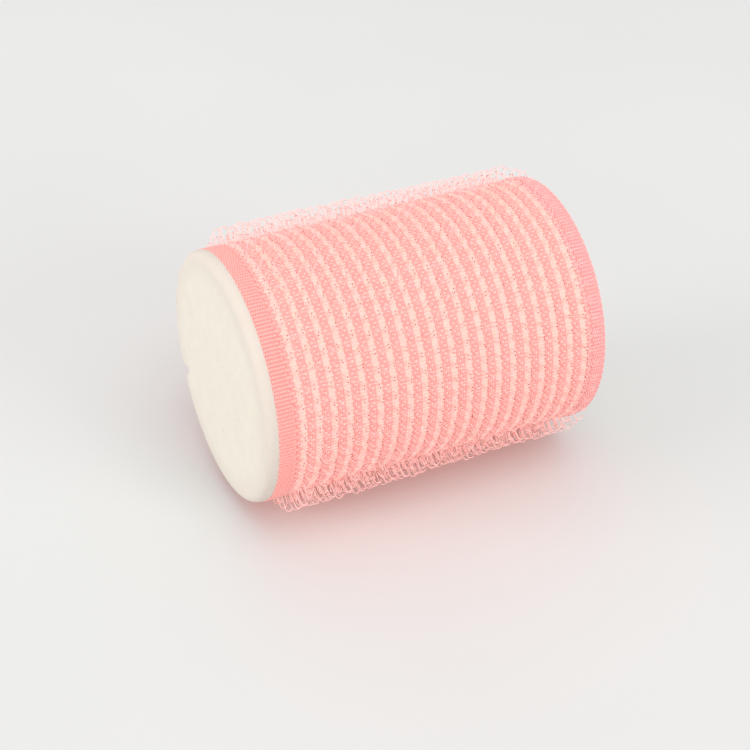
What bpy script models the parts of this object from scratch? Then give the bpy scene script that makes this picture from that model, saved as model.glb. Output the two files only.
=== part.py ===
"""Self-grip hair roller: a solid foam core in a sleeve of woven nylon hook tape.

Metres, +Z up. The roller lies on its side with its axis along X. The origin is under the
middle of the roller, on the surface that its hooks stand on.

The tape is woven round the roller: its warp yarns run round the core in dense bands, its weft
yarns run along the core and are all that crosses the open gaps between the bands, and rows of
hooked monofilament stand over the gaps. The tape's two cut ends meet in one welded seam.
"""

import math

import bmesh
import bpy

MM = 0.001

# The woven sleeve, from its left edge (-X) to its right edge
SLEEVE_RADIUS = 22.0 * MM
TAPE_THICKNESS = 0.55 * MM
BAND_COUNT = 19
BAND_WIDTH = 1.52 * MM
GAP_WIDTH = 1.22 * MM
LEFT_SELVEDGE_WIDTH = 3.8 * MM
RIGHT_SELVEDGE_WIDTH = 3.4 * MM

# The hooks, as the ring that each row fills
HOOK_HEIGHT = 2.55 * MM
HOOK_ROW_OVERLAP = 0.35 * MM

# The foam core
FOAM_PROUD = 2.0 * MM
FOAM_HEAD_RADIUS = 21.6 * MM
FOAM_RIM_ROUNDING = 1.1 * MM

# The weft layer and the welded seam
WEB_THICKNESS = 0.3 * MM
SEAM_WIDTH = 1.6 * MM
SEAM_ANGLE = math.radians(-60)

CLEARANCE = 0.3 * MM
SMOOTH_SIDES = 48
BAND_SIDES = 36
HOOK_SIDES = 24
ROUNDING_STEPS = 3

PITCH = BAND_WIDTH + GAP_WIDTH
GAP_COUNT = BAND_COUNT + 1
SLEEVE_LENGTH = LEFT_SELVEDGE_WIDTH + RIGHT_SELVEDGE_WIDTH + BAND_COUNT * BAND_WIDTH + GAP_COUNT * GAP_WIDTH
# The foam stands out at the left end only, so the sleeve lies a little to the right of the origin
SLEEVE_MIDDLE = FOAM_PROUD / 2
SLEEVE_LEFT = SLEEVE_MIDDLE - SLEEVE_LENGTH / 2
SLEEVE_RIGHT = SLEEVE_MIDDLE + SLEEVE_LENGTH / 2
FIRST_GAP = SLEEVE_LEFT + LEFT_SELVEDGE_WIDTH
TAPE_INNER_RADIUS = SLEEVE_RADIUS - TAPE_THICKNESS
WEB_OUTER_RADIUS = TAPE_INNER_RADIUS - CLEARANCE
WEB_INNER_RADIUS = WEB_OUTER_RADIUS - WEB_THICKNESS
FOAM_RADIUS = WEB_INNER_RADIUS - CLEARANCE
FOAM_LEFT = SLEEVE_LEFT - FOAM_PROUD
# Each hook row is a prism of flat facets, and it rests on one: this is the axis's height over it
AXIS_HEIGHT = SLEEVE_RADIUS + HOOK_HEIGHT

FOAM_COLOUR = (0.93, 0.87, 0.75)
TAPE_COLOUR = (1.0, 0.42, 0.38)
WEB_COLOUR = (1.0, 0.55, 0.50)
HOOK_COLOUR = (1.0, 0.66, 0.63)
SEAM_COLOUR = (0.95, 0.36, 0.33)


def clear_scene():
    for obj in list(bpy.data.objects):
        bpy.data.objects.remove(obj, do_unlink=True)


def new_collection(name):
    collection = bpy.data.collections.new(name)
    bpy.context.scene.collection.children.link(collection)
    return collection


def new_axis(collection):
    """The empty that lays every turned piece down: its own Z runs along the row's X."""
    axis = bpy.data.objects.new("roller_axis", None)
    axis.location = (0, 0, AXIS_HEIGHT)
    axis.rotation_euler = (0, math.radians(90), 0)
    collection.objects.link(axis)
    return axis


def plain_material(name, colour, roughness):
    material = bpy.data.materials.new(name)
    material.use_nodes = True
    shader = material.node_tree.nodes["Principled BSDF"]
    shader.inputs["Base Color"].default_value = (*colour, 1)
    shader.inputs["Roughness"].default_value = roughness
    shader.inputs["Metallic"].default_value = 0
    return material


def turned(name, profile, closed, sides, collection, axis, material, phase=0):
    """A profile of (radius, height) points, turned about the axis by a Screw modifier."""
    count = len(profile)
    edges = [(i, i + 1) for i in range(count - 1)]
    if closed:
        edges.append((count - 1, 0))
    mesh = bpy.data.meshes.new(name)
    mesh.from_pydata([(radius, 0, height) for radius, height in profile], edges, [])
    obj = bpy.data.objects.new(name, mesh)
    collection.objects.link(obj)
    obj.parent = axis
    obj.rotation_euler = (0, 0, phase)
    screw = obj.modifiers.new("turn", "SCREW")
    screw.axis = "Z"
    screw.angle = math.tau
    screw.steps = sides
    screw.render_steps = sides
    screw.use_merge_vertices = True
    screw.merge_threshold = 0.00001
    screw.use_smooth_shade = True
    obj.data.materials.append(material)
    return obj


def ring(name, start, end, inner, outer, sides, collection, axis, material, phase=0):
    """A plain ring between two heights, drawn down its outer side and back up its inner side."""
    profile = [(outer, end), (outer, start), (inner, start), (inner, end)]
    return turned(name, profile, True, sides, collection, axis, material, phase)


def cut(obj, cutter):
    boolean = obj.modifiers.new("seam", "BOOLEAN")
    boolean.operation = "DIFFERENCE"
    boolean.solver = "EXACT"
    boolean.object = cutter


def seam_block(name, width, inner, outer, length, collection):
    """A box along the sleeve at the seam's place, from one radius to the other."""
    mesh = bpy.data.meshes.new(name)
    box = bmesh.new()
    bmesh.ops.create_cube(box, size=1)
    bmesh.ops.scale(box, vec=(length, width, outer - inner), verts=box.verts)
    bmesh.ops.translate(box, vec=(0, 0, (inner + outer) / 2), verts=box.verts)
    box.to_mesh(mesh)
    box.free()
    block = bpy.data.objects.new(name, mesh)
    block.location = (SLEEVE_MIDDLE, 0, AXIS_HEIGHT)
    # Its own Z points out of the sleeve at the seam's angle, which is counted from +Y towards +Z
    block.rotation_euler = (SEAM_ANGLE - math.radians(90), 0, 0)
    collection.objects.link(block)
    return block


def seam_cutter(collection):
    """The slot between the tape's two ends: the weld and its clearance on both sides."""
    reach = 2 * MM
    cutter = seam_block(
        "seam_slot_cutter",
        SEAM_WIDTH + 2 * CLEARANCE,
        FOAM_RADIUS + CLEARANCE / 2,
        SLEEVE_RADIUS + reach,
        SLEEVE_LENGTH + 2 * reach,
        collection,
    )
    cutter.hide_render = True
    cutter.display_type = "WIRE"
    return cutter


def foam_profile():
    """The core's outline from the middle of its right face to the middle of its left one."""
    flat_radius = FOAM_HEAD_RADIUS - FOAM_RIM_ROUNDING
    shoulder = FOAM_LEFT + FOAM_RIM_ROUNDING
    points = [
        (0, SLEEVE_RIGHT),
        (FOAM_RADIUS, SLEEVE_RIGHT),
        (FOAM_RADIUS, SLEEVE_LEFT),
        (FOAM_HEAD_RADIUS, SLEEVE_LEFT - CLEARANCE),
    ]
    for step in range(ROUNDING_STEPS + 1):
        turn = math.radians(90) * step / ROUNDING_STEPS
        radius = flat_radius + FOAM_RIM_ROUNDING * math.cos(turn)
        points.append((radius, shoulder - FOAM_RIM_ROUNDING * math.sin(turn)))
    points.append((0, FOAM_LEFT))
    return points


def foam_core(collection, axis):
    """Solid sponge cylinder: flush with the sleeve at the right, and bulging over its left edge."""
    material = plain_material("foam", FOAM_COLOUR, 0.95)
    return turned("foam_core", foam_profile(), False, SMOOTH_SIDES, collection, axis, material)


def weft_web(collection, axis, cutter):
    """The ground layer of weft yarns, which runs under every band and shows in the gaps."""
    material = plain_material("weft", WEB_COLOUR, 0.6)
    web = ring(
        "weft_web", SLEEVE_LEFT, SLEEVE_RIGHT, WEB_INNER_RADIUS, WEB_OUTER_RADIUS,
        SMOOTH_SIDES, collection, axis, material,
    )
    cut(web, cutter)


def tape_ring(name, start, width, collection, axis, material, cutter):
    piece = ring(
        name, start, start + width, TAPE_INNER_RADIUS, SLEEVE_RADIUS,
        BAND_SIDES, collection, axis, material,
    )
    cut(piece, cutter)


def warp_bands(collection, axis, cutter):
    """The two plain woven selvedges and the bands of warp yarn between them."""
    selvedge = plain_material("selvedge", TAPE_COLOUR, 0.55)
    band = plain_material("warp_band", TAPE_COLOUR, 0.55)
    tape_ring("selvedge_left", SLEEVE_LEFT, LEFT_SELVEDGE_WIDTH, collection, axis, selvedge, cutter)
    for number in range(1, BAND_COUNT + 1):
        start = FIRST_GAP + GAP_WIDTH + (number - 1) * PITCH
        tape_ring(f"warp_band_{number:02d}", start, BAND_WIDTH, collection, axis, band, cutter)
    right_start = SLEEVE_RIGHT - RIGHT_SELVEDGE_WIDTH
    tape_ring("selvedge_right", right_start, RIGHT_SELVEDGE_WIDTH, collection, axis, selvedge, cutter)


def hook_rows(collection, axis):
    """One row of hooks over each gap, as a faceted ring as high as the hooks.

    The rings have few sides, so that the roller rests on a facet and doesn't roll.
    """
    material = plain_material("hook_filament", HOOK_COLOUR, 0.35)
    half_facet = math.pi / HOOK_SIDES
    outer = AXIS_HEIGHT / math.cos(half_facet)
    inner = (SLEEVE_RADIUS + CLEARANCE) / math.cos(half_facet)
    for number in range(1, GAP_COUNT + 1):
        gap_start = FIRST_GAP + (number - 1) * PITCH
        ring(
            f"hook_row_{number:02d}", gap_start - HOOK_ROW_OVERLAP,
            gap_start + GAP_WIDTH + HOOK_ROW_OVERLAP, inner, outer,
            HOOK_SIDES, collection, axis, material, phase=half_facet,
        )


def weld_seam(collection):
    """The bar of melted yarn that joins the tape's two ends, from edge to edge."""
    seam = seam_block(
        "weld_seam", SEAM_WIDTH, WEB_INNER_RADIUS, SLEEVE_RADIUS, SLEEVE_LENGTH, collection
    )
    seam.data.materials.append(plain_material("weld", SEAM_COLOUR, 0.4))


def main():
    clear_scene()
    parts = new_collection("hair_roller")
    helpers = new_collection("cutters")
    axis = new_axis(parts)
    cutter = seam_cutter(helpers)
    foam_core(parts, axis)
    weft_web(parts, axis, cutter)
    warp_bands(parts, axis, cutter)
    hook_rows(parts, axis)
    weld_seam(parts)


main()
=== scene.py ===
import math

import bpy
import numpy as np
from mathutils import Matrix, Vector


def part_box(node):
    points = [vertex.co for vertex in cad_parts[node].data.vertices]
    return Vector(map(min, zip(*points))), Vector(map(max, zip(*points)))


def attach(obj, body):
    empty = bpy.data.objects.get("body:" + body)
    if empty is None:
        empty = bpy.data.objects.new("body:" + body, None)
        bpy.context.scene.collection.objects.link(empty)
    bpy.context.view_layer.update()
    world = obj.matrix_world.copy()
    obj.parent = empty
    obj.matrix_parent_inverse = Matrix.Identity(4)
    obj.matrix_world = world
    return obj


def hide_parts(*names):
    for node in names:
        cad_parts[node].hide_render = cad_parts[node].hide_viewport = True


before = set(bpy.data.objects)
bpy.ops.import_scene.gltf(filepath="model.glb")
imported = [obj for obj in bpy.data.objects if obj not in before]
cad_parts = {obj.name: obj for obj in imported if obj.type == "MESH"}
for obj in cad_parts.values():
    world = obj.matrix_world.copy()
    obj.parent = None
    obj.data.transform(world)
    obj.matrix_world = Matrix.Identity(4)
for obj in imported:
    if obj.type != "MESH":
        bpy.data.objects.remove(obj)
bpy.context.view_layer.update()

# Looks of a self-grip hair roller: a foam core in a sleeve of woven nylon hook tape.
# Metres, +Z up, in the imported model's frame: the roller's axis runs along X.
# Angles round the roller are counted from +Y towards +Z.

MM = 0.001

# ---------------------------------------------------------------- sizes from the frame

BAND_NAMES = sorted(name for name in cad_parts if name.startswith("warp_band_"))
HOOK_NAMES = sorted(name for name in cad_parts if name.startswith("hook_row_"))


def span(node):
    """A node's lowest and highest x."""
    low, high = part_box(node)
    return low.x, high.x


CORE_LOW, CORE_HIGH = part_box("foam_core")
TAPE_LOW, TAPE_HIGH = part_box("selvedge_left")
AXIS_HEIGHT = (CORE_LOW.z + CORE_HIGH.z) / 2
SLEEVE_RADIUS = (TAPE_HIGH.z - TAPE_LOW.z) / 2
SLEEVE_LEFT = TAPE_LOW.x
SLEEVE_RIGHT = span("selvedge_right")[1]
SLEEVE_MIDDLE = (SLEEVE_LEFT + SLEEVE_RIGHT) / 2
BANDS = [span(name) for name in BAND_NAMES]
LEFT_SELVEDGE = span("selvedge_left")
RIGHT_SELVEDGE = span("selvedge_right")
RISERS = [LEFT_SELVEDGE] + BANDS + [RIGHT_SELVEDGE]
# A gap lies between each strip of warp and the next
GAPS = [(before[1], after[0]) for before, after in zip(RISERS, RISERS[1:])]
FOAM_PROUD = SLEEVE_LEFT - CORE_LOW.x

# ---------------------------------------------------------------- the weave

PICKS_ROUND = 212
PICK_ANGLE = math.tau / PICKS_ROUND
YARN_DEPTH = 0.22 * MM
YARN_RADIUS = SLEEVE_RADIUS - YARN_DEPTH
SEAM_LOW, SEAM_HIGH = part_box("weld_seam")
SEAM_MIDDLE = (SEAM_LOW + SEAM_HIGH) / 2
SEAM_ANGLE = math.atan2(SEAM_MIDDLE.z - AXIS_HEIGHT, SEAM_MIDDLE.y)
SEAM_WIDTH = 1.6 * MM
SEAM_HALF_ANGLE = SEAM_WIDTH / 2 / SLEEVE_RADIUS
TAPE_START = SEAM_ANGLE + SEAM_HALF_ANGLE
TAPE_END = SEAM_ANGLE + math.tau - SEAM_HALF_ANGLE

# Places of a band's warp yarns, as shares of its width, the pick that each goes over, and
# whether the weft comes up over it on the other pick
BAND_WARPS = ((0.15, 0, False), (0.39, 1, True), (0.63, 0, True), (0.85, 1, False))
CROSSED_RISE = 0.08 * MM
COVERED_RISE = 0.03 * MM
SELVEDGE_BAND_RISE = 0.07 * MM
SELVEDGE_WARP_PITCH = 0.2 * MM
HALF_BAND_WIDTH = 0.95 * MM
SMOOTH_EDGE_WARPS = 3
# A selvedge's half band: its warps as shares of its width, and their first picks
SELVEDGE_BAND_SHARES = (0.2, 0.54, 0.79)
SELVEDGE_BAND_PHASES = (1, 0, 1)

# The three sorts of warp yarn, with half-widths and half-thicknesses. A yarn is wider by its
# spread where it's up, and thicker by WARP_THICKENING
BAND_WARP = dict(half_width=0.215 * MM, spread=0.16, thickness=0.13 * MM, sharpness=0.6)
RIBBED_WARP = dict(
    half_width=0.16 * MM, spread=0.5, thickness=0.11 * MM, rise=0.17 * MM, sharpness=1.0)
SMOOTH_WARP = dict(
    half_width=0.17 * MM, spread=0.15, thickness=0.16 * MM, rise=0.06 * MM, sharpness=1.0)
WARP_THICKENING = 0.25
SIDEWAYS_WANDER = 0.015 * MM
OUTWARD_WANDER = 0.01 * MM

# The weft: pairs of yarns, in sectors round the roller
SECTORS = 6
WEFT_SIDES = 5
WEFT_HALF_PAIR = 0.085 * MM
WEFT_HALF_WIDTH = 0.085 * MM
WEFT_HALF_THICKNESS = 0.075 * MM
WEFT_RADIUS = YARN_RADIUS - 0.02 * MM
WEFT_RISE = 0.09 * MM
WEFT_PAIR_WANDER = 0.055 * MM
WEFT_YARN_WANDER = 0.012 * MM
# The side of a warp that the weft passes on: 1 over, -1 under, and this where it is never over
COVERED = -0.5

rng = np.random.default_rng(7)


# ---------------------------------------------------------------- camera, lights and floor

VIEW_AZIMUTH = math.radians(-24.92)
VIEW_ELEVATION = math.radians(34.51)
VIEW_DISTANCE = 328.2 * MM
VIEW_AIM_RIGHT = -2.84 * MM
VIEW_AIM_UP = -7.06 * MM
LENS = 90
SENSOR = 36

WORLD_STRENGTH = 0.79
# Each softbox's name, place, aim, size and power
SOFTBOXES = (
    ("softbox_high", (0, -1.35, 2.6), (0, 0, 0), (2.0, 2.0), 27.0),
    ("softbox_front_left", (-1.0, -1.5, 0.62), (0, 0, 0.02), (0.9, 0.7), 2.0),
    ("softbox_front_right", (0.8, -1.6, 0.7), (0, 0, 0.02), (0.9, 0.7), 8.5),
    ("softbox_left", (-1.8, 0.2, 0.6), (0, 0, 0.02), (0.9, 0.7), 13.0),
    ("softbox_back", (0.1, 1.6, 1.2), (0, 0.1, 0.0), (1.4, 0.8), 1.0),
)
FLOOR_SIZE = 6


def make_camera():
    """The camera at the photograph's angle, aimed a little to one side of the roller's middle."""
    towards = Vector((
        math.sin(VIEW_AZIMUTH) * math.cos(VIEW_ELEVATION),
        -math.cos(VIEW_AZIMUTH) * math.cos(VIEW_ELEVATION),
        math.sin(VIEW_ELEVATION),
    ))
    right = (-towards).cross(Vector((0, 0, 1))).normalized()
    up = right.cross(-towards)
    aim = Vector((SLEEVE_MIDDLE, 0, AXIS_HEIGHT)) + VIEW_AIM_RIGHT * right + VIEW_AIM_UP * up
    data = bpy.data.cameras.new("camera")
    data.lens = LENS
    data.sensor_width = SENSOR
    data.clip_start = 0.01
    camera = bpy.data.objects.new("camera", data)
    camera.matrix_world = Matrix.Translation(aim + VIEW_DISTANCE * towards) @ Matrix(
        (right, up, towards)).transposed().to_4x4()
    bpy.context.scene.collection.objects.link(camera)
    bpy.context.scene.camera = camera


def area_light(name, place, aim, size, power):
    data = bpy.data.lights.new(name, "AREA")
    data.shape = "RECTANGLE"
    data.size, data.size_y = size
    data.energy = power
    light = bpy.data.objects.new(name, data)
    light.location = place
    light.rotation_euler = (Vector(aim) - Vector(place)).to_track_quat("-Z", "Y").to_euler()
    bpy.context.scene.collection.objects.link(light)


def make_world():
    world = bpy.data.worlds.new("studio")
    world.use_nodes = True
    background = world.node_tree.nodes["Background"]
    background.inputs["Color"].default_value = (1, 1, 1, 1)
    background.inputs["Strength"].default_value = WORLD_STRENGTH
    bpy.context.scene.world = world


# ---------------------------------------------------------------- mesh helpers

def on_roller(x, radius, angle):
    """Points at these places along the axis, radii and angles, as an array (..., 3)."""
    x, radius, angle = np.broadcast_arrays(x, radius, angle)
    return np.stack(
        [x, radius * np.cos(angle), AXIS_HEIGHT + radius * np.sin(angle)], axis=-1)


def outward(angle):
    return np.stack([np.zeros_like(angle), np.cos(angle), np.sin(angle)], axis=-1)


def around(angle):
    return np.stack([np.zeros_like(angle), -np.sin(angle), np.cos(angle)], axis=-1)


ALONG = np.array([1.0, 0.0, 0.0])


def new_piece(name, points, quads, caps=()):
    """A smooth-shaded mesh object of quads and, where caps are given, of faces with more sides."""
    mesh = bpy.data.meshes.new(name)
    quads = np.asarray(quads, np.int32)
    groups = [quads] + [np.asarray(cap, np.int32) for cap in caps]
    corners = np.concatenate([group.ravel() for group in groups])
    sizes = np.concatenate([np.full(len(group), group.shape[1], np.int32) for group in groups])
    starts = np.concatenate([[0], np.cumsum(sizes)[:-1]]).astype(np.int32)
    mesh.vertices.add(len(points))
    mesh.vertices.foreach_set("co", np.asarray(points, np.float32).ravel())
    mesh.loops.add(len(corners))
    mesh.loops.foreach_set("vertex_index", corners)
    mesh.polygons.add(len(sizes))
    mesh.polygons.foreach_set("loop_start", starts)
    mesh.polygons.foreach_set("loop_total", sizes)
    mesh.update(calc_edges=True)
    mesh.shade_smooth()
    piece = bpy.data.objects.new(name, mesh)
    bpy.context.scene.collection.objects.link(piece)
    return piece


def tube_faces(tubes, rings, sides, first=0):
    """Quads and end caps of tubes whose points are numbered tube by tube and ring by ring."""
    index = first + np.arange(tubes * rings * sides).reshape(tubes, rings, sides)
    after = np.roll(index, -1, axis=2)
    quads = np.stack(
        [index[:, :-1], after[:, :-1], after[:, 1:], index[:, 1:]], axis=-1).reshape(-1, 4)
    caps = np.concatenate([index[:, 0, ::-1], index[:, -1]])
    return quads, caps


def tube_points(centres, across, out, sides):
    """Ring points of tubes along centres (tube, ring, 3): across and out are half the section's axes.

    The faces look outward where across, out and the tube's direction are right-handed.
    """
    turn = np.arange(sides) * math.tau / sides
    across = np.broadcast_to(across, centres.shape)
    out = np.broadcast_to(out, centres.shape)
    rings = (centres[:, :, None] + np.cos(turn)[:, None] * across[:, :, None]
             + np.sin(turn)[:, None] * out[:, :, None])
    return rings.reshape(-1, 3)


def tubes_piece(name, bundles, sides, end_material=False):
    """One piece of many tubes. Each bundle is (centres, across, out).

    With end_material, each tube's last stretch and far end take the piece's second material.
    """
    points, quads, caps, slots, first = [], [], [], [], 0
    for centres, across, out in bundles:
        count, rings = centres.shape[:2]
        points.append(tube_points(centres, across, out, sides))
        new_quads, new_caps = tube_faces(count, rings, sides, first)
        quads.append(new_quads)
        caps.append(new_caps)
        slot = np.zeros((count, rings - 1, sides), np.int32)
        slot[:, -1] = 1
        slots.append(slot.ravel())
        first += count * rings * sides
    piece = new_piece(
        name, np.concatenate(points), np.concatenate(quads), [np.concatenate(caps)])
    if end_material:
        for group in caps:
            slots.append(np.repeat([0, 1], len(group) // 2).astype(np.int32))
        piece.data.polygons.foreach_set("material_index", np.concatenate(slots))
    return piece


# ---------------------------------------------------------------- materials

# The strength and colours of the stand-in emission: a painted glow in the dye's colours, which stands in
# for light scattered in the yarn
GLOW = 0.26
PAINTED_GLOW_COLOUR = (1.0, 0.14, 0.11)
PALE_PAINTED_GLOW_COLOUR = (1.0, 0.38, 0.31)

# Two tones of each material. For yarns, the first is on the crests and the second, darker, is painted
# shade in the hollows
FOAM_TONES = ((0.74, 0.70, 0.615), (0.72, 0.67, 0.58))
# Painted shade: a darker, pinker tone that evens out the brighter light on the foam's rim
FOAM_RIM_SHADE_TONE = (0.68, 0.605, 0.54)
FOAM_SPECK_TONE = (0.45, 0.36, 0.28)
# Painted light: the foam under the tape is pinker than the ends, for pink light bounced from the tape
FOAM_UNDER_TAPE_BOUNCE_TONES = ((0.77, 0.62, 0.545), (0.77, 0.58, 0.50))
WEFT_TONES = ((0.77, 0.73, 0.705), (0.77, 0.64, 0.60))
WARP_TONES = ((0.75, 0.44, 0.41), (0.72, 0.315, 0.29))
PALE_WARP_TONES = ((0.73, 0.465, 0.46), (0.70, 0.34, 0.33))
BAND_TONES = ((0.74, 0.415, 0.39), (0.73, 0.35, 0.325))
FILAMENT_TONES = ((0.84, 0.46, 0.44), (0.89, 0.60, 0.575))
CUT_END_TONES = ((0.36, 0.03, 0.04), (0.56, 0.07, 0.08))
WELD_TONES = ((0.86, 0.27, 0.24), (0.95, 0.40, 0.36))
FLOOR_TONES = ((0.668, 0.668, 0.658), (0.688, 0.688, 0.679))
SHEEN_TINT = (1.0, 0.8, 0.77)

# Where a yarn's painted hollow shade gives way to its crest tone, outward from YARN_RADIUS, and how many
# filaments show per mm
HOLLOW = 0.04 * MM
BAND_HOLLOW = -0.05 * MM
CREST = 0.24 * MM
FILAMENTS_PER_MM = 25
# The foam's painted rim shade, a darker and pinker tone that evens out the brighter light on the rim,
# comes in over this stretch, also from YARN_RADIUS
RIM_SHADE_FROM = -5 * MM
RIM_SHADE_TO = 0.1 * MM


def link(tree, output, target):
    tree.links.new(output, target)


def new_material(name, **settings):
    """A Principled material. Settings are socket names with _ for spaces, constant over the surface."""
    material = bpy.data.materials.new(name)
    material.use_nodes = True
    shader = material.node_tree.nodes["Principled BSDF"]
    for socket, value in settings.items():
        shader.inputs[socket.replace("_", " ")].default_value = value
    return material, material.node_tree, shader


def glowing(shader, colour):
    """A faint emission in the dye's colour. It keeps the shaded yarn and the floor near it pink.

    It's a stand-in for light scattered in the yarn, and not a measured property of the dye.
    """
    shader.inputs["Emission Color"].default_value = (*colour, 1)
    shader.inputs["Emission Strength"].default_value = GLOW


def add_node(tree, kind, **settings):
    node = tree.nodes.new(kind)
    for name, value in settings.items():
        setattr(node, name, value)
    return node


def noise(tree, scale, detail):
    """Noise in object coordinates, which are in metres, so the scale is in cycles per metre."""
    place = add_node(tree, "ShaderNodeTexCoord")
    texture = add_node(tree, "ShaderNodeTexNoise")
    texture.inputs["Scale"].default_value = scale
    texture.inputs["Detail"].default_value = detail
    texture.inputs["Roughness"].default_value = 0.5
    link(tree, place.outputs["Object"], texture.inputs["Vector"])
    return texture.outputs["Fac"]


def remap(tree, value, low, high, start=0.3, end=0.7):
    """The value, from low at start to high at end. Most noise lies between 0.3 and 0.7."""
    node = add_node(tree, "ShaderNodeMapRange")
    node.inputs["From Min"].default_value = start
    node.inputs["From Max"].default_value = end
    node.inputs["To Min"].default_value = low
    node.inputs["To Max"].default_value = high
    link(tree, value, node.inputs["Value"])
    return node.outputs["Result"]


# The Mix node's sockets for colours
MIX_FIRST = 6
MIX_SECOND = 7
MIX_RESULT = 2


def mixed(tree, factor, first, second):
    node = add_node(tree, "ShaderNodeMix", data_type="RGBA")
    link(tree, factor, node.inputs["Factor"])
    node.inputs[MIX_FIRST].default_value = (*first, 1)
    node.inputs[MIX_SECOND].default_value = (*second, 1)
    return node.outputs[MIX_RESULT]


def bumped(tree, shader, height, strength, distance):
    bump = add_node(tree, "ShaderNodeBump")
    bump.inputs["Strength"].default_value = strength
    bump.inputs["Distance"].default_value = distance
    link(tree, height, bump.inputs["Height"])
    link(tree, bump.outputs["Normal"], shader.inputs["Normal"])


def filament_lines(tree, along_axis):
    """Fine lines of a yarn's own filaments: across X for the warp, round the roller for the weft."""
    place = add_node(tree, "ShaderNodeTexCoord")
    split = add_node(tree, "ShaderNodeSeparateXYZ")
    link(tree, place.outputs["Object"], split.inputs["Vector"])
    if along_axis:
        drop = add_node(tree, "ShaderNodeMath", operation="SUBTRACT")
        link(tree, split.outputs["Z"], drop.inputs[0])
        drop.inputs[1].default_value = AXIS_HEIGHT
        turn = add_node(tree, "ShaderNodeMath", operation="ARCTAN2")
        link(tree, drop.outputs[0], turn.inputs[0])
        link(tree, split.outputs["Y"], turn.inputs[1])
        place_across = turn.outputs[0]
        count = SLEEVE_RADIUS * FILAMENTS_PER_MM / MM
    else:
        place_across = split.outputs["X"]
        count = FILAMENTS_PER_MM / MM
    wobble = remap(tree, noise(tree, 1500, 2), -1.5, 1.5)
    phase = add_node(tree, "ShaderNodeMath", operation="MULTIPLY_ADD")
    link(tree, place_across, phase.inputs[0])
    phase.inputs[1].default_value = count * math.tau
    link(tree, wobble, phase.inputs[2])
    wave = add_node(tree, "ShaderNodeMath", operation="SINE")
    link(tree, phase.outputs[0], wave.inputs[0])
    return wave.outputs[0]


def depth_in_tape(tree, low, high):
    """0 where the surface lies low in the tape and 1 on its crests, by the distance from the axis."""
    place = add_node(tree, "ShaderNodeTexCoord")
    flatten = add_node(tree, "ShaderNodeVectorMath", operation="MULTIPLY_ADD")
    link(tree, place.outputs["Object"], flatten.inputs[0])
    flatten.inputs[1].default_value = (0, 1, 1)
    flatten.inputs[2].default_value = (0, 0, -AXIS_HEIGHT)
    length = add_node(tree, "ShaderNodeVectorMath", operation="LENGTH")
    link(tree, flatten.outputs["Vector"], length.inputs[0])
    return remap(tree, length.outputs["Value"], 0, 1, YARN_RADIUS + low, YARN_RADIUS + high)


def yarn_material(name, colour, hollow_shade_colour, along_axis, glow, hollow=HOLLOW):
    """Dyed nylon yarn with painted shade: paler on its crests than in its hollows."""
    material, tree, shader = new_material(
        name, Sheen_Weight=0.25, Sheen_Roughness=0.4, Specular_IOR_Level=0.4)
    shader.inputs["Sheen Tint"].default_value = (*SHEEN_TINT, 1)
    # Painted glow: a faint emission that keeps the yarn and the floor near it pink in the shade
    glowing(shader, glow)
    patches = remap(tree, noise(tree, 700, 4), -0.12, 0.12)
    # Painted shade: darker towards the tape's hollows, by the distance from the axis
    crests = depth_in_tape(tree, hollow, CREST)
    total = add_node(tree, "ShaderNodeMath", operation="ADD", use_clamp=True)
    link(tree, crests, total.inputs[0])
    link(tree, patches, total.inputs[1])
    link(tree, mixed(tree, total.outputs[0], hollow_shade_colour, colour), shader.inputs["Base Color"])
    link(tree, remap(tree, noise(tree, 2500, 2), 0.42, 0.58), shader.inputs["Roughness"])
    bumped(tree, shader, filament_lines(tree, along_axis), 0.35, 0.00002)
    return material


def foam_material(name, colour, dark_colour, rim_shade_colour=None, glow=None):
    """Open sponge: a fine grain of cells, faint clouds of tone, a few dark specks and, where a rim shade
    is given, painted shade towards the rim.
    """
    material, tree, shader = new_material(
        name, Specular_IOR_Level=0.15, Subsurface_Weight=0.25, Subsurface_Scale=0.0015)
    shader.inputs["Subsurface Radius"].default_value = (1.0, 0.8, 0.6)
    place = add_node(tree, "ShaderNodeTexCoord")
    cells = add_node(tree, "ShaderNodeTexVoronoi", feature="DISTANCE_TO_EDGE")
    cells.inputs["Scale"].default_value = 3200
    link(tree, place.outputs["Object"], cells.inputs["Vector"])
    pores = remap(tree, cells.outputs["Distance"], 1, 0, 0.0, 0.35)
    tone = mixed(tree, remap(tree, noise(tree, 400, 5), 0, 1), dark_colour, colour)
    specks = remap(tree, noise(tree, 1900, 1), 0, 1, 0.77, 0.80)
    speckled = add_node(tree, "ShaderNodeMix", data_type="RGBA")
    link(tree, specks, speckled.inputs["Factor"])
    link(tree, tone, speckled.inputs[MIX_FIRST])
    speckled.inputs[MIX_SECOND].default_value = (*FOAM_SPECK_TONE, 1)
    # Painted glow, where one is given: a faint emission that keeps the foam pink in the shade
    if glow:
        glowing(shader, glow)
    finished = speckled.outputs[MIX_RESULT]
    # Painted shade: darker and pinker towards the rim, to even out the brighter light there
    if rim_shade_colour:
        rim_shaded = add_node(tree, "ShaderNodeMix", data_type="RGBA")
        link(tree, depth_in_tape(tree, RIM_SHADE_FROM, RIM_SHADE_TO), rim_shaded.inputs["Factor"])
        link(tree, finished, rim_shaded.inputs[MIX_FIRST])
        rim_shaded.inputs[MIX_SECOND].default_value = (*rim_shade_colour, 1)
        finished = rim_shaded.outputs[MIX_RESULT]
    link(tree, finished, shader.inputs["Base Color"])
    link(tree, remap(tree, noise(tree, 3000, 2), 0.85, 1.0), shader.inputs["Roughness"])
    bumped(tree, shader, pores, 0.4, 0.00006)
    return material


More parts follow.
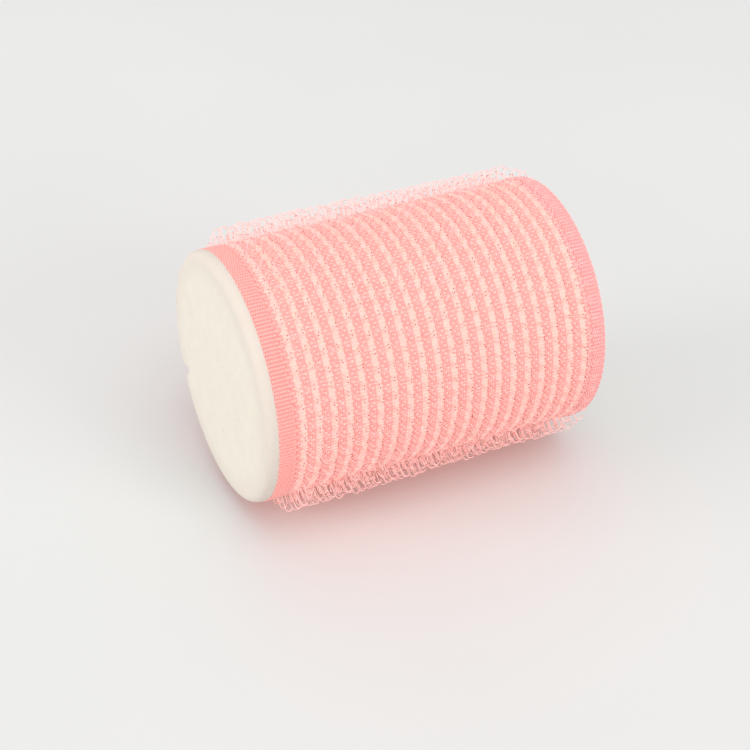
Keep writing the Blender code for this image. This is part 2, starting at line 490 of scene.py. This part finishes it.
def hook_material():
    """Pale pink drawn nylon: milky, and glossy enough to glint where it curls over."""
    material, tree, shader = new_material("hook_filament", IOR=1.6, Specular_IOR_Level=0.9)
    # Painted glow: a faint emission that keeps the filaments pink in the shade
    glowing(shader, PALE_PAINTED_GLOW_COLOUR)
    tone = mixed(tree, remap(tree, noise(tree, 300, 3), 0, 1), *FILAMENT_TONES)
    link(tree, tone, shader.inputs["Base Color"])
    link(tree, remap(tree, noise(tree, 900, 2), 0.05, 0.14), shader.inputs["Roughness"])
    return material


def cut_end_material():
    """The filaments' cut ends, which show as small deep red dots."""
    material, tree, shader = new_material("hook_cut_end", Specular_IOR_Level=0.4)
    tone = mixed(tree, remap(tree, noise(tree, 2500, 2), 0, 1), *CUT_END_TONES)
    link(tree, tone, shader.inputs["Base Color"])
    link(tree, remap(tree, noise(tree, 900, 2), 0.3, 0.5), shader.inputs["Roughness"])
    return material


def weld_material():
    material, tree, shader = new_material("weld", Specular_IOR_Level=0.5)
    tone = mixed(tree, remap(tree, noise(tree, 900, 4), 0, 1), *WELD_TONES)
    link(tree, tone, shader.inputs["Base Color"])
    link(tree, remap(tree, noise(tree, 2000, 3), 0.3, 0.5), shader.inputs["Roughness"])
    bumped(tree, shader, noise(tree, 6000, 3), 0.3, 0.00003)
    return material


def floor_material():
    material, tree, shader = new_material("floor", Specular_IOR_Level=0.3)
    tone = mixed(tree, remap(tree, noise(tree, 9, 2), 0, 1), *FLOOR_TONES)
    link(tree, tone, shader.inputs["Base Color"])
    link(tree, remap(tree, noise(tree, 30, 2), 0.42, 0.5), shader.inputs["Roughness"])
    return material


# ---------------------------------------------------------------- the woven tape

RING_STEPS_PER_PICK = 4
YARN_SIDES = 6


def warp_rings():
    """The angles of a warp yarn's rings, from one side of the weld to the other, and their picks."""
    steps = int(round((TAPE_END - TAPE_START) / PICK_ANGLE * RING_STEPS_PER_PICK))
    angle = np.linspace(TAPE_START, TAPE_END, steps + 1)
    return angle, (angle - TAPE_START) / PICK_ANGLE


def crest(value, sharpness):
    """A wave from -1 to 1 with flatter crests than a cosine."""
    wave = np.cos(math.pi * value)
    return np.sign(wave) * np.abs(wave) ** sharpness


def slow_wave(angle, size):
    """A smooth random wander round the roller, the same at both ends of the tape."""
    total = np.zeros_like(angle)
    for turns in (2, 3, 5, 9, 14):
        total += rng.normal() * np.cos(turns * angle + rng.uniform(0, math.tau)) / turns ** 0.5
    return size * total / 2


def warp_bundle(places, phases, half_width, spread, rise, thickness, sharpness):
    """Warp yarns round the roller at these x places: each goes over and under pick by pick."""
    angle, pick = warp_rings()
    bundles = []
    for place, phase in zip(places, phases):
        over = crest(pick + phase, sharpness)
        x = place + slow_wave(angle, SIDEWAYS_WANDER)
        radius = YARN_RADIUS + rise * over + slow_wave(angle, OUTWARD_WANDER)
        centres = on_roller(x, radius, angle)[None]
        wide = half_width * (1 + spread * over)
        thick = thickness * (1 + WARP_THICKENING * over)
        across = -(wide[:, None] * ALONG)[None]
        out = (thick[:, None] * outward(angle))[None]
        bundles.append((centres, across, out))
    return bundles


def warp_band(name, low, high, material):
    width = high - low
    bundles = []
    for share, phase, crossed in BAND_WARPS:
        rise = CROSSED_RISE if crossed else COVERED_RISE
        bundles += warp_bundle([low + share * width], [phase], rise=rise, **BAND_WARP)
    piece = tubes_piece(name + "_yarns", bundles, YARN_SIDES)
    finish_piece(piece, material, "warp_band", name)


def selvedge(name, low, high, band_side, material):
    """A dense warp-faced edge, with half a band of thicker warps on the side of the nearest gap.

    The right edge's last warps are drawn tight, so its ribs fade there.
    """
    width = high - low - HALF_BAND_WIDTH
    count = int(round(width / SELVEDGE_WARP_PITCH))
    start = low if band_side > 0 else low + HALF_BAND_WIDTH
    places = start + (np.arange(count) + 0.5) * width / count
    phases = np.arange(count) % 2
    ribbed = count if band_side > 0 else count - SMOOTH_EDGE_WARPS
    bundles = warp_bundle(places[:ribbed], phases[:ribbed], **RIBBED_WARP)
    bundles += warp_bundle(places[ribbed:], phases[ribbed:], **SMOOTH_WARP)
    middle = high - HALF_BAND_WIDTH if band_side > 0 else low + HALF_BAND_WIDTH
    thick_places = [
        middle + band_side * HALF_BAND_WIDTH * share for share in SELVEDGE_BAND_SHARES]
    bundles += warp_bundle(
        thick_places, SELVEDGE_BAND_PHASES, rise=SELVEDGE_BAND_RISE, **BAND_WARP)
    piece = tubes_piece(name + "_yarns", bundles, YARN_SIDES)
    finish_piece(piece, material, "selvedge", name)


def weft_stations():
    """Where a pick is bent, from left to right: (x, the side it passes on even picks), 0 in the open."""
    left_middle = LEFT_SELVEDGE[1] - HALF_BAND_WIDTH
    right_middle = RIGHT_SELVEDGE[0] + HALF_BAND_WIDTH
    first_low, first_high = GAPS[0]
    stations = [
        (SLEEVE_LEFT, 0),
        (left_middle, 0),
        (left_middle + 0.56 * HALF_BAND_WIDTH, -1),
        (left_middle + 0.84 * HALF_BAND_WIDTH, 1),
        (first_low + 0.3 * MM, 0),
        (first_high - 0.3 * MM, 0),
    ]
    for (low, high), (gap_low, gap_high) in zip(BANDS, GAPS[1:]):
        for share, phase, crossed in BAND_WARPS:
            side = (1 if phase else -1) if crossed else COVERED
            stations.append((low + share * (high - low), side))
        for share in (0.25, 0.75):
            stations.append((gap_low + share * (gap_high - gap_low), 0))
    stations += [
        (right_middle - 0.84 * HALF_BAND_WIDTH, 1),
        (right_middle - 0.56 * HALF_BAND_WIDTH, -1),
        (right_middle, 0),
        (SLEEVE_RIGHT, 0),
    ]
    return stations


def weft_pieces(material):
    """The weft: a pair of yarns in each pick, from edge to edge of the tape, in sectors round it."""
    stations = weft_stations()
    places = np.array([x for x, _ in stations])
    sides = np.array([side for _, side in stations], float)
    halves = [np.linspace(a, b, 2, endpoint=False) for a, b in zip(places, places[1:])]
    fine = np.concatenate(halves + [places[-1:]])
    lift = np.sin(np.interp(fine, places, sides) * math.pi / 2)
    # Between two warps that always cover it, the weft is low on every pick. Elsewhere it alternates
    covered = np.interp(fine, places, (sides == COVERED).astype(float)) > 0.9
    picks = np.arange(int((TAPE_END - TAPE_START) / PICK_ANGLE))
    bends = rng.normal(0, WEFT_PAIR_WANDER, (len(picks), len(places)))
    sway = np.stack([np.interp(fine, places, row) for row in bends])
    for number, sector in enumerate(np.array_split(picks, SECTORS), 1):
        bundles = []
        parity = np.where(sector % 2 == 0, 1.0, -1.0)[:, None]
        up = np.where(covered[None], lift[None], lift[None] * parity)
        for side in (-1, 1):
            wander = rng.normal(0, WEFT_YARN_WANDER, (len(sector), len(fine)))
            offset = side * WEFT_HALF_PAIR + sway[sector] + wander
            angle = TAPE_START + sector[:, None] * PICK_ANGLE + offset / SLEEVE_RADIUS
            centres = on_roller(fine[None], WEFT_RADIUS + WEFT_RISE * up, angle)
            across = WEFT_HALF_WIDTH * around(angle)
            out = WEFT_HALF_THICKNESS * outward(angle)
            bundles.append((centres, across, out))
        piece = tubes_piece(f"weft_yarns_{number}", bundles, WEFT_SIDES)
        finish_piece(piece, material, "weft", "weft_web")


WELD_COLUMNS = 14
WELD_ROWS = 560
WELD_RIB_PITCH = 0.9 * MM
WELD_RIB_HEIGHT = 0.16 * MM
WELD_TOP = SLEEVE_RADIUS - 0.12 * MM
WELD_BOTTOM = SLEEVE_RADIUS - 0.6 * MM
# The melt runs this far past the tape's cut ends, as a share, and droops this much at its edges
WELD_OVERRUN = 1.15
WELD_EDGE_DROOP = 0.18 * MM
WELD_JAGGEDNESS = 0.05
WELD_GRAIN = 0.015 * MM


def weld_piece(material):
    """The bar where the tape's two ends are melted together, pressed with a row of small ribs."""
    across = np.linspace(-1, 1, WELD_COLUMNS)
    along = np.linspace(SLEEVE_LEFT, SLEEVE_RIGHT, WELD_ROWS)
    x, side = np.meshgrid(along, across, indexing="ij")
    ribs = 0.5 + 0.5 * np.cos(x / WELD_RIB_PITCH * math.tau)
    pressed = np.clip((1 - np.abs(side)) * 4, 0, 1)
    jagged = 1 + WELD_JAGGEDNESS * rng.normal(size=(WELD_ROWS, 1))
    angle = SEAM_ANGLE + side * SEAM_HALF_ANGLE * WELD_OVERRUN * jagged
    top_radius = WELD_TOP + WELD_RIB_HEIGHT * ribs * pressed
    top_radius += WELD_GRAIN * rng.normal(size=x.shape) - WELD_EDGE_DROOP * np.abs(side) ** 6
    top = on_roller(x, top_radius, angle)
    bottom = on_roller(x, WELD_BOTTOM, angle)
    points = np.concatenate([top.reshape(-1, 3), bottom.reshape(-1, 3)])
    index = np.arange(x.size).reshape(x.shape)
    top_quads = np.stack(
        [index[:-1, :-1], index[1:, :-1], index[1:, 1:], index[:-1, 1:]], -1).reshape(-1, 4)
    bottom_quads = top_quads[:, ::-1] + x.size
    rim = np.concatenate([index[0, :-1], index[:-1, -1], index[-1, :0:-1], index[:0:-1, 0]])
    low = rim + x.size
    side_quads = np.stack([rim, np.roll(rim, -1), np.roll(low, -1), low], -1)
    piece = new_piece("weld_bar", points, np.concatenate([top_quads, bottom_quads, side_quads]))
    finish_piece(piece, material, "weld", "weld_seam")


# ---------------------------------------------------------------- hooks

HOOK_THICKNESS = 0.088 * MM
HOOK_END_SWELL = 1.7
STUB_END_SWELL = 2.4
HOOK_SIDES = 5
HOOK_ROOT_INSET = 0.28 * MM
STUB_ROOT_INSET = 0.08 * MM
ROOT_WANDER = 0.05 * MM
ROOT_DEPTH = 0.3 * MM
SITE_PICKS = 4
HALF_PAIR = 0.28 * MM
PAIR_WANDER = 0.06 * MM
LAID_FROM = math.radians(60)
LAID_SPAN = math.radians(115)
LEG_RINGS = 5
HEAD_RINGS = 10
# In mm: the middle value, how far pairs spread round it, and how far a filament strays in its pair
HOOK_TALLNESS = (2.38, 0.1, 0.06)
HOOK_LEAN = (0.3, 0.14, 0.06)
HOOK_SWAY = (0, 0.15, 0.06)
STUB_TALLNESS = (1.55, 0.22, 0.08)
STUB_LEAN = (0.05, 0.12, 0.04)
STUB_SWAY = (0, 0.2, 0.06)
HEAD_RADII = (0.55, 0.72)
# In degrees, how far a head curls over, and its limits
HEAD_TURN_LIMITS = (90, 215)
HEAD_TURN = 168
HEAD_TURN_SPREAD = 18
# Hooks are this much taller, in mm, at the left, and the extra fades out over this stretch of x
LEFT_EXTRA_HEIGHT = 0.5
EXTRA_HEIGHT_END = 12 * MM
EXTRA_HEIGHT_SPAN = 24 * MM
STUB_SHARES = np.array([0, 0.35, 0.7, 0.96, 1])
# A leg leans more towards its tip, by this power of the share of its height
LEAN_POWER = 1.5


def paired(middle, spread, strayed, count):
    """Normal random values that the two filaments of each pair nearly share."""
    return np.repeat(rng.normal(middle, spread, count // 2), 2) + rng.normal(0, strayed, count)


def brushed(angle):
    """How far, in mm, the filaments lean round the roller, where one side of them is laid over."""
    turn = (angle - LAID_FROM) % math.tau
    laid = np.where(turn < LAID_SPAN, np.sin(math.pi * turn / LAID_SPAN), 0)
    return -0.4 * laid + 0.1 * np.sin(5 * angle)


def hook_paths(sites):
    """Filaments that stand at these (x, angle) places and curl over towards +X.

    In a path, u runs along the roller, v outward from the sleeve and w round it.
    """
    count = len(sites)
    x0, angle0 = sites[:, 0], sites[:, 1]
    head = rng.uniform(*HEAD_RADII, count) * MM
    taller = LEFT_EXTRA_HEIGHT * np.clip((EXTRA_HEIGHT_END - x0) / EXTRA_HEIGHT_SPAN, 0, 1)
    height = (np.clip(paired(*HOOK_TALLNESS, count), 2.0, 2.6) + taller) * MM
    leg = height - head
    lean = paired(*HOOK_LEAN, count) * MM
    sweep = np.radians(np.clip(rng.normal(HEAD_TURN, HEAD_TURN_SPREAD, count), *HEAD_TURN_LIMITS))
    sway = (brushed(angle0) + paired(*HOOK_SWAY, count)) * MM
    rise = np.linspace(0, 1, LEG_RINGS, endpoint=False)
    turn = np.concatenate([np.linspace(0, 0.965, HEAD_RINGS - 1), [1]])
    leg_v = -ROOT_DEPTH + rise * (leg[:, None] + ROOT_DEPTH)
    leg_u = lean[:, None] * rise ** LEAN_POWER
    phi = turn * sweep[:, None]
    head_u = lean[:, None] + head[:, None] * (1 - np.cos(phi))
    head_v = leg[:, None] + head[:, None] * np.sin(phi)
    u = np.concatenate([leg_u, head_u], axis=1)
    v = np.concatenate([leg_v, head_v], axis=1)
    w = sway[:, None] * (np.clip(v, 0, None) / height[:, None]) ** LEAN_POWER
    centres = on_roller(x0[:, None] + u, SLEEVE_RADIUS + v, angle0[:, None] + w / SLEEVE_RADIUS)
    centres[..., 2] = np.maximum(centres[..., 2], HOOK_THICKNESS / 2)
    return centres


def stub_paths(sites):
    """The cut-off leg of each loop, a little to the left of its hook."""
    count = len(sites)
    height = np.clip(paired(*STUB_TALLNESS, count), 1.0, 2.0) * MM
    v = -ROOT_DEPTH + STUB_SHARES * (height[:, None] + ROOT_DEPTH)
    leaning = MM * STUB_SHARES ** LEAN_POWER
    u = paired(*STUB_LEAN, count)[:, None] * leaning
    w = (brushed(sites[:, 1]) + paired(*STUB_SWAY, count))[:, None] * leaning
    return on_roller(
        sites[:, :1] + u, SLEEVE_RADIUS + v, sites[:, 1:] + w / SLEEVE_RADIUS)


def filament_frames(centres, angle, end_swell):
    """Half-axes of a round filament: one round the roller, and one square to it and the path."""
    along = np.gradient(centres, axis=1)
    along /= np.linalg.norm(along, axis=-1, keepdims=True)
    side = np.broadcast_to(around(angle)[:, None], centres.shape)
    out = np.cross(along, side)
    out /= np.linalg.norm(out, axis=-1, keepdims=True)
    side = np.cross(out, along)
    half = np.full((1, centres.shape[1], 1), HOOK_THICKNESS / 2)
    half[:, -2:] *= end_swell
    return half * side, half * out


def hook_row(name, gap_low, material, end_material):
    """The hooks over one gap: pairs of filament loops, each cut open into a hook and a stub."""
    site_angle = PICK_ANGLE * SITE_PICKS
    sites_round = int(round(math.tau / site_angle))
    base = TAPE_START + (np.arange(sites_round) + rng.uniform(0.2, 0.8)) * site_angle
    base = base[base < TAPE_END - PICK_ANGLE]
    half_pair = HALF_PAIR / SLEEVE_RADIUS
    pair = np.stack([base - half_pair, base + half_pair], 1).ravel()
    pair = pair + rng.normal(0, PAIR_WANDER, len(pair)) / SLEEVE_RADIUS
    hook_root = gap_low + HOOK_ROOT_INSET + rng.normal(0, ROOT_WANDER, len(pair))
    stub_root = gap_low + STUB_ROOT_INSET + rng.normal(0, ROOT_WANDER, len(pair))
    hooks = hook_paths(np.stack([hook_root, pair], 1))
    stubs = stub_paths(np.stack([stub_root, pair], 1))
    bundles = [(hooks, *filament_frames(hooks, pair, HOOK_END_SWELL)),
               (stubs, *filament_frames(stubs, pair, STUB_END_SWELL))]
    piece = tubes_piece(name + "_filaments", bundles, HOOK_SIDES, end_material=True)
    finish_piece(piece, material, "hook_filament", name)
    piece.data.materials.append(end_material)


# ---------------------------------------------------------------- foam

FOAM_STEPS = 300
FACE_RINGS = 60
DOME = 0.15 * MM

# The proud left end
HEAD_RADIUS = SLEEVE_RADIUS - 0.04 * MM
HEAD_RIM = 1.85 * MM
HEAD_RIM_STEPS = 12
HEAD_SQUARENESS = 0.8

# The flush right end
EDGE_RADIUS = SLEEVE_RADIUS - 0.5 * MM
EDGE_RIM = 0.3 * MM
EDGE_RIM_STEPS = 6
EDGE_INSET = 0.4 * MM

# The wall under the tape, which bulges a little in each gap
WALL_RADIUS = SLEEVE_RADIUS - 0.39 * MM
WALL_BULGE = 0.06 * MM
WALL_SHARES = (-0.15, 0.0, 0.2, 0.4, 0.6, 0.8, 1.0, 1.15)


def left_end_profile():
    """The proud end of the core, from the edge of the sleeve to the middle of its face."""
    face = SLEEVE_LEFT - FOAM_PROUD
    shoulder = face + HEAD_RIM
    points = [
        (SLEEVE_LEFT + 0.1 * MM, HEAD_RADIUS - 0.4 * MM),
        (SLEEVE_LEFT, HEAD_RADIUS - 0.02 * MM),
    ]
    for share in (0.1, 0.4, 0.7, 1.0):
        points.append((SLEEVE_LEFT + share * (shoulder - SLEEVE_LEFT), HEAD_RADIUS))
    for step in range(1, HEAD_RIM_STEPS + 1):
        turn = math.radians(90) * step / HEAD_RIM_STEPS
        x = shoulder - HEAD_RIM * math.sin(turn) ** HEAD_SQUARENESS
        radius = HEAD_RADIUS - HEAD_RIM + HEAD_RIM * math.cos(turn) ** HEAD_SQUARENESS
        points.append((x, radius))
    for step in range(1, FACE_RINGS + 1):
        radius = (HEAD_RADIUS - HEAD_RIM) * (1 - step / FACE_RINGS)
        points.append((face - DOME * (1 - (radius / HEAD_RADIUS) ** 2), radius))
    return points


def right_end_profile():
    """The flush end of the core, from the edge of the sleeve to the middle of its face."""
    start = SLEEVE_RIGHT - EDGE_INSET
    points = [(start, EDGE_RADIUS)]
    for step in range(1, EDGE_RIM_STEPS + 1):
        turn = math.radians(90) * step / EDGE_RIM_STEPS
        radius = EDGE_RADIUS - EDGE_RIM + EDGE_RIM * math.cos(turn)
        points.append((start + EDGE_RIM * math.sin(turn), radius))
    for step in range(1, FACE_RINGS + 1):
        radius = (EDGE_RADIUS - EDGE_RIM) * (1 - step / FACE_RINGS)
        points.append((start + EDGE_RIM + DOME * (1 - (radius / EDGE_RADIUS) ** 2), radius))
    return points


NOTCH_ANGLE = math.radians(-27.5)
NOTCH_HALF_ANGLE = math.radians(2.2)
NOTCH_DEPTH = 1.0 * MM
BULGE_ANGLE = math.radians(-75)
RAGGED_TURNS = (4, 7, 11, 17, 26, 41, 63)
# The rim is ragged over the outer stretch of the face, and the notch reaches further in
RAGGED_STRETCH = 3 * MM
NOTCH_STRETCH = 4.5 * MM
RIM_RAGGEDNESS = 0.07 * MM
RIM_BULGE = 0.2 * MM
FACE_RAGGEDNESS = 0.05 * MM


def turn_from(angle, middle):
    """How far these angles are from the middle one, the shorter way round."""
    return (angle - middle + math.pi) % math.tau - math.pi


def bend_foam(x, radius, angle):
    """Uneven cut edges: a ragged rim, a bulge under the roller and a nick in the left end."""
    near_rim = np.clip((radius - (SLEEVE_RADIUS - RAGGED_STRETCH)) / RAGGED_STRETCH, 0, 1) ** 2
    out = np.clip((SLEEVE_LEFT - x) / FOAM_PROUD, 0, 1)
    ragged = sum(
        rng.normal() * np.cos(turns * angle + rng.uniform(0, math.tau)) / 5
        for turns in RAGGED_TURNS)
    bulge = np.exp(-turn_from(angle, BULGE_ANGLE) ** 2 / 0.5)
    radius = radius + out * near_rim * (RIM_RAGGEDNESS * ragged + RIM_BULGE * bulge)
    dent = np.exp(-(turn_from(angle, NOTCH_ANGLE) / NOTCH_HALF_ANGLE) ** 2)
    dent = dent * out * np.clip(
        (radius - (SLEEVE_RADIUS - NOTCH_STRETCH)) / RAGGED_STRETCH, 0, 1)
    x = x + NOTCH_DEPTH * dent - FACE_RAGGEDNESS * out * near_rim * ragged
    return x, radius - NOTCH_DEPTH / 2 * dent


def foam_piece(material, bounce_lit_wall_material):
    """The sponge core. Its wall under the tape has a pinker tone: painted light bounced from the tape
    round it.
    """
    wall = []
    for low, high in GAPS:
        for share in WALL_SHARES:
            bulge = WALL_BULGE * math.cos(math.pi * (share - 0.5) / 1.3)
            wall.append((low + share * (high - low), WALL_RADIUS + bulge))
    wall = [(SLEEVE_LEFT + 0.3 * MM, EDGE_RADIUS)] + wall
    left_end = left_end_profile()[::-1]
    right_end = right_end_profile()
    outline = np.array(left_end[1:] + wall + right_end[:-1])
    angle = np.arange(FOAM_STEPS) * math.tau / FOAM_STEPS
    x = np.repeat(outline[:, :1], FOAM_STEPS, axis=1)
    radius = np.repeat(outline[:, 1:], FOAM_STEPS, axis=1)
    x, radius = bend_foam(x, radius, np.broadcast_to(angle, x.shape))
    points = on_roller(x, radius, angle[None]).reshape(-1, 3)
    rings = len(outline)
    index = np.arange(rings * FOAM_STEPS).reshape(rings, FOAM_STEPS)
    after = np.roll(index, -1, axis=1)
    quads = np.stack([index[:-1], index[1:], after[1:], after[:-1]], -1).reshape(-1, 4)
    left_hub = len(points)
    right_hub = left_hub + 1
    hubs = [(left_end[0][0], 0, AXIS_HEIGHT), (right_end[-1][0], 0, AXIS_HEIGHT)]
    points = np.concatenate([points, hubs])
    left_fan = np.stack([index[0], after[0], np.full(FOAM_STEPS, left_hub)], -1)
    right_fan = np.stack([after[-1], index[-1], np.full(FOAM_STEPS, right_hub)], -1)
    piece = new_piece("foam_roll", points, quads, [np.concatenate([left_fan, right_fan])])
    finish_piece(piece, material, "foam", "foam_core")
    piece.data.materials.append(bounce_lit_wall_material)
    slots = np.zeros((rings - 1, FOAM_STEPS), np.int32)
    slots[len(left_end) - 1:len(left_end) + len(wall) - 1] = 1
    slots = np.concatenate([slots.ravel(), np.zeros(2 * FOAM_STEPS, np.int32)])
    piece.data.polygons.foreach_set("material_index", slots)
    return piece


# ---------------------------------------------------------------- everything together

def finish_piece(piece, material, slot, *nodes):
    piece.data.materials.append(material)
    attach(piece, "root")
    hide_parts(*nodes)


def make_floor():
    bpy.ops.mesh.primitive_plane_add(size=FLOOR_SIZE, location=(0, 0, 0))
    floor = bpy.context.object
    floor.name = "floor"
    floor.data.materials.append(floor_material())


def main():
    make_camera()
    bpy.context.scene.view_settings.view_transform = "Standard"
    make_world()
    for softbox in SOFTBOXES:
        area_light(*softbox)
    make_floor()

    foam = foam_piece(
        foam_material("foam", *FOAM_TONES, FOAM_RIM_SHADE_TONE),
        foam_material("foam_under_tape_painted_bounce", *FOAM_UNDER_TAPE_BOUNCE_TONES, glow=PALE_PAINTED_GLOW_COLOUR))
    weft_pieces(yarn_material("weft", *WEFT_TONES, True, PALE_PAINTED_GLOW_COLOUR))
    warp = yarn_material("warp", *WARP_TONES, False, PAINTED_GLOW_COLOUR)
    band = yarn_material("warp_band", *BAND_TONES, False, PAINTED_GLOW_COLOUR, BAND_HOLLOW)
    for name, (low, high) in zip(BAND_NAMES, BANDS):
        warp_band(name, low, high, band)
    selvedge("selvedge_left", *LEFT_SELVEDGE, 1, warp)
    pale_warp = yarn_material("warp_pale", *PALE_WARP_TONES, False, PAINTED_GLOW_COLOUR)
    selvedge("selvedge_right", *RIGHT_SELVEDGE, -1, pale_warp)
    weld_piece(weld_material())
    filament = hook_material()
    cut_end = cut_end_material()
    for name, (gap_low, _) in zip(HOOK_NAMES, GAPS):
        hook_row(name, gap_low, filament, cut_end)


main()
